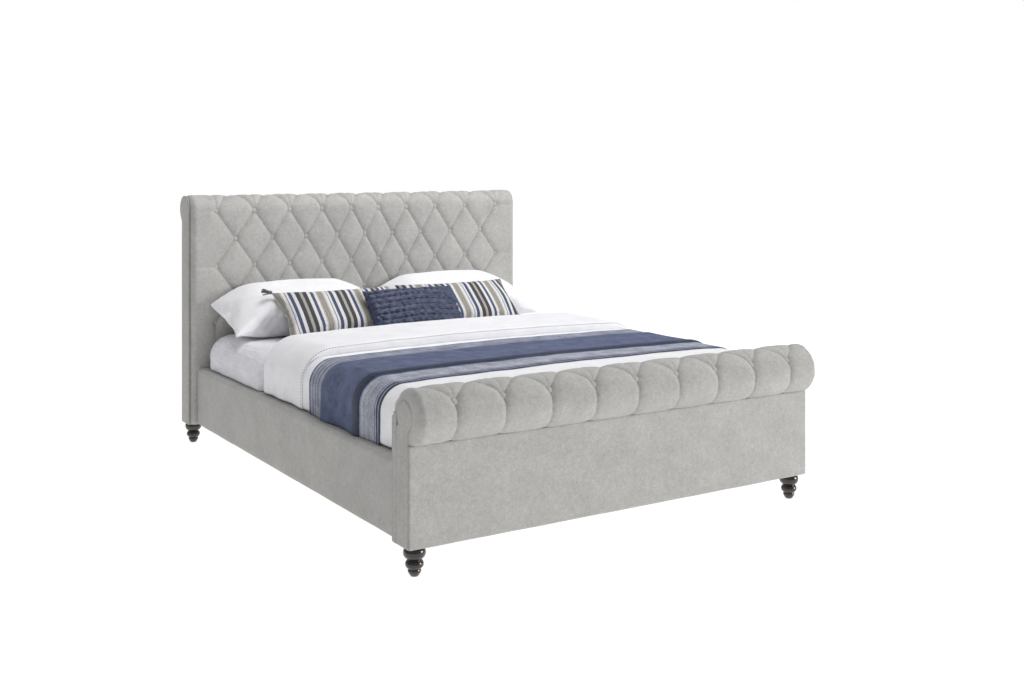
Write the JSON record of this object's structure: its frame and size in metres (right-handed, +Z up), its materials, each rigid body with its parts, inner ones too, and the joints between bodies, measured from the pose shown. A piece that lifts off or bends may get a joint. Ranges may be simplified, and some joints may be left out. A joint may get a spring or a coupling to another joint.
{
  "type": "sleigh bed",
  "caption": "Upholstered sleigh bed with a deep-buttoned scroll headboard, a buttoned rolled footboard, padded side rails, a sprung slatted base, turned feet and dressed bedding.",
  "frame": {"origin": "on the floor, under the middle of the whole bed's box", "axes": "+Z up; +Y from the foot of the bed towards the headboard; +X to the right for someone who stands at the foot and looks at the headboard"},
  "size_m": [1.756, 2.3199, 1.137],
  "materials": {
    "upholstery": "light grey chenille over foam",
    "piping": "the same chenille over piping cord",
    "softwood": "planed pine",
    "plywood": "sanded plywood",
    "beech": "lacquered laminated beech",
    "black_wood": "gloss dark lacquer",
    "steel": "zinc plated",
    "black_plastic": "moulded, satin",
    "mattress_cover": "white cotton sheet",
    "bed_linen": "white cotton percale",
    "runner_wool": "blue brushed wool with striped borders",
    "striped_cotton": "woven stripes",
    "blue_satin": "pin-tucked satin"
  },
  "bodies": {
    "bed": {"headboard_end_board_left": "softwood", "headboard_end_board_right": "softwood", "headboard_bottom_rail": "softwood", "headboard_top_rail": "softwood", "headboard_stiles": "softwood", "headboard_scroll_former": "plywood", "headboard_front_panel": "plywood", "headboard_back_cover": "upholstery", "headboard_padding": "upholstery", "headboard_buttons": "upholstery", "headboard_facing_left": "upholstery", "headboard_facing_right": "upholstery", "headboard_piping": "piping", "footboard_end_board_left": "softwood", "footboard_end_board_right": "softwood", "footboard_bottom_rail": "softwood", "footboard_top_rail": "softwood", "footboard_stiles": "softwood", "footboard_roll_former": "plywood", "footboard_front_panel": "plywood", "footboard_back_panel": "plywood", "footboard_front_cover": "upholstery", "footboard_inner_cover": "upholstery", "footboard_roll": "upholstery", "footboard_buttons": "upholstery", "footboard_facing_left": "upholstery", "footboard_facing_right": "upholstery", "footboard_piping": "piping", "rail_core_left": "softwood", "rail_core_right": "softwood", "rail_cover_left": "upholstery", "rail_cover_right": "upholstery", "slat_ledge_left": "softwood", "slat_ledge_right": "softwood", "corner_bracket_front_left": "steel", "corner_bracket_front_right": "steel", "corner_bracket_rear_left": "steel", "corner_bracket_rear_right": "steel", "bracket_bolts": "steel", "foot_front_left": "black_wood", "foot_front_right": "black_wood", "foot_rear_left": "black_wood", "foot_rear_right": "black_wood", "foot_studs": "steel", "centre_rail": "softwood", "centre_rail_hangers": "steel", "centre_leg_front": "black_plastic", "centre_leg_rear": "black_plastic", "slats_left": "beech", "slats_right": "beech", "slat_side_holders": "black_plastic", "slat_centre_holders": "black_plastic"},
    "mattress": {"mattress": "mattress_cover"},
    "duvet": {"duvet": "bed_linen"},
    "runner": {"runner": "runner_wool"},
    "left_pillow": {"pillow_left": "bed_linen"},
    "right_pillow": {"pillow_right": "bed_linen"},
    "left_striped_cushion": {"striped_cushion_left": "striped_cotton"},
    "right_striped_cushion": {"striped_cushion_right": "striped_cotton"},
    "blue_cushion": {"blue_cushion": "blue_satin"}
  },
  "joints": [
    {"name": "mattress_lift", "type": "slide", "parent": "bed", "child": "mattress", "axis": [0, 0, 1], "range_m": [0, 0.4]},
    {"name": "duvet_lift", "type": "slide", "parent": "mattress", "child": "duvet", "axis": [0, 0, 1], "range_m": [0, 0.3]},
    {"name": "runner_lift", "type": "slide", "parent": "duvet", "child": "runner", "axis": [0, 0, 1], "range_m": [0, 0.3]},
    {"name": "left_pillow_lift", "type": "slide", "parent": "mattress", "child": "left_pillow", "axis": [0, 0, 1], "range_m": [0, 0.3]},
    {"name": "right_pillow_lift", "type": "slide", "parent": "mattress", "child": "right_pillow", "axis": [0, 0, 1], "range_m": [0, 0.3]},
    {"name": "left_striped_lift", "type": "slide", "parent": "left_pillow", "child": "left_striped_cushion", "axis": [0, 0, 1], "range_m": [0, 0.3]},
    {"name": "right_striped_lift", "type": "slide", "parent": "right_pillow", "child": "right_striped_cushion", "axis": [0, 0, 1], "range_m": [0, 0.3]},
    {"name": "blue_lift", "type": "slide", "parent": "left_striped_cushion", "child": "blue_cushion", "axis": [0, 0, 1], "range_m": [0, 0.3]}
  ],
  "couplings": [
    {"joint": "right_pillow_lift", "follows": "left_pillow_lift", "ratio": 1},
    {"joint": "right_striped_lift", "follows": "left_striped_lift", "ratio": 1}
  ]
}
